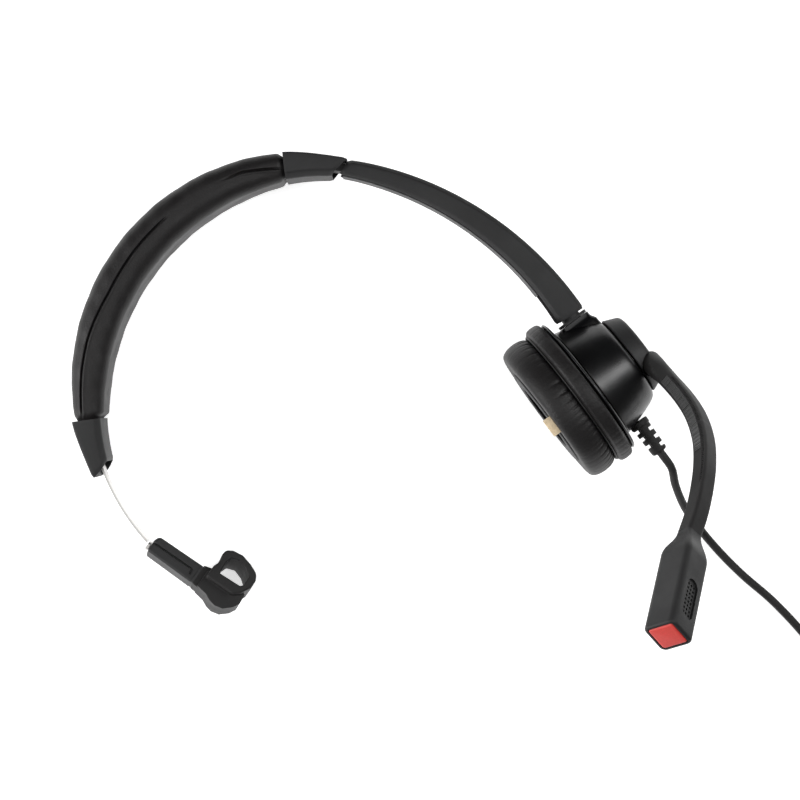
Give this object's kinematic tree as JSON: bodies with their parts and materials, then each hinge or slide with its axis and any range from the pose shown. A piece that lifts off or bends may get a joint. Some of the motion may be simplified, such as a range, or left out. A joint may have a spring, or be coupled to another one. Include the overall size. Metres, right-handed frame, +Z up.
{
  "type": "office headset",
  "caption": "Single-ear office headset with sprung padded headband, sliding steel strips, temple pad, leatherette ear cushion, bendable microphone boom and a corded plug.",
  "frame": {"origin": "centre of the lying headset's footprint on the table, measured without its cord and plug", "axes": "+Z up from the table, +Y from the cord's exit towards the crown of the headband, +X from the temple pad towards the ear cup"},
  "size_m": [0.2624, 0.3514, 0.1651],
  "materials": {
    "matte_black": "fine moulded grain",
    "gloss_black": "satin gloss",
    "black_rubber": "matte",
    "leatherette": "soft grain",
    "spring_steel": "satin",
    "red_plastic": "matte",
    "cream_tape": "plain",
    "black_foam": "open cell",
    "green_board": "solder mask",
    "speaker_film": "thin film"
  },
  "bodies": {
    "ear_cup": {"housing": "gloss_black", "baffle_plate": "matte_black", "baffle_screw_1": "spring_steel", "baffle_screw_2": "spring_steel", "baffle_screw_3": "spring_steel", "speaker_frame": "matte_black", "speaker_magnet": "spring_steel", "speaker_cone": "speaker_film", "rim_ring": "gloss_black", "ear_cushion": "leatherette", "cushion_skirt": "leatherette", "cushion_ring": "matte_black", "speaker_cloth": "black_foam", "cushion_tag": "cream_tape", "turret_bush": "black_rubber", "circuit_board": "green_board", "strain_relief": "black_rubber", "cord_tube": "black_rubber", "cord_coil": "black_rubber", "cord_tail": "black_rubber", "cord_tie": "black_rubber", "plug_body": "black_rubber", "plug_relief": "black_rubber", "plug_shell": "spring_steel", "plug_tongue": "matte_black"},
    "pivot": {"pivot_post": "matte_black"},
    "arm": {"arm_outer": "matte_black", "arm_cover": "matte_black", "tilt_pin": "spring_steel", "strip_anchor": "matte_black", "strip_right": "spring_steel", "runner_right": "matte_black"},
    "headband": {"spring_band": "spring_steel", "pad_sleeve": "leatherette", "pad_core": "matte_black", "end_cap_left": "matte_black", "end_cap_right": "matte_black"},
    "left_slider": {"strip_left": "spring_steel", "runner_left": "matte_black", "swivel_pin": "spring_steel"},
    "temple": {"temple_carrier": "matte_black", "temple_pad": "black_rubber"},
    "boom": {"boom_turret": "matte_black", "turret_cap": "gloss_black", "turret_axle": "spring_steel", "axle_clip": "spring_steel", "turret_washer": "spring_steel", "boom_lower": "black_rubber"},
    "mic_boom": {"boom_upper": "black_rubber", "mic_shell": "matte_black", "mic_tip": "red_plastic", "mic_grille": "matte_black", "mic_foam": "black_foam", "mic_capsule": "spring_steel"}
  },
  "joints": [
    {"name": "cup_swivel", "type": "hinge", "parent": "ear_cup", "child": "pivot", "pos_m": [0.08426, -0.0153, 0.03148], "axis": [0.0026, 0.9996, -0.0282], "range_deg": [-35, 35]},
    {"name": "cup_tilt", "type": "hinge", "parent": "pivot", "child": "arm", "pos_m": [0.08428, -0.0085, 0.03129], "axis": [-0.0915, 0.0283, 0.9954], "range_deg": [-6, 6]},
    {"name": "right_extension", "type": "hinge", "parent": "arm", "child": "headband", "pos_m": [-0.01113, 0.02349, 0.02162], "axis": [-0.0915, 0.0283, 0.9954], "range_deg": [0, 24]},
    {"name": "left_extension", "type": "hinge", "parent": "headband", "child": "left_slider", "pos_m": [-0.01113, 0.02349, 0.02162], "axis": [-0.0915, 0.0283, 0.9954], "range_deg": [-20.5, 2.6]},
    {"name": "temple_swivel", "type": "hinge", "parent": "left_slider", "child": "temple", "pos_m": [-0.097, 0.01289, 0.01403], "axis": [-0.3163, 0.947, -0.056], "range_deg": [-41, 9]},
    {"name": "boom_rotate", "type": "hinge", "parent": "ear_cup", "child": "boom", "pos_m": [0.09526, -0.03849, 0.03315], "axis": [-0.9958, 0, -0.0915], "range_deg": [-70, 90]},
    {"name": "boom_flex", "type": "hinge", "parent": "boom", "child": "mic_boom", "pos_m": [0.0908, -0.06508, 0.08216], "axis": [-0.0435, 0.8798, 0.4733], "range_deg": [-20, 20]}
  ]
}
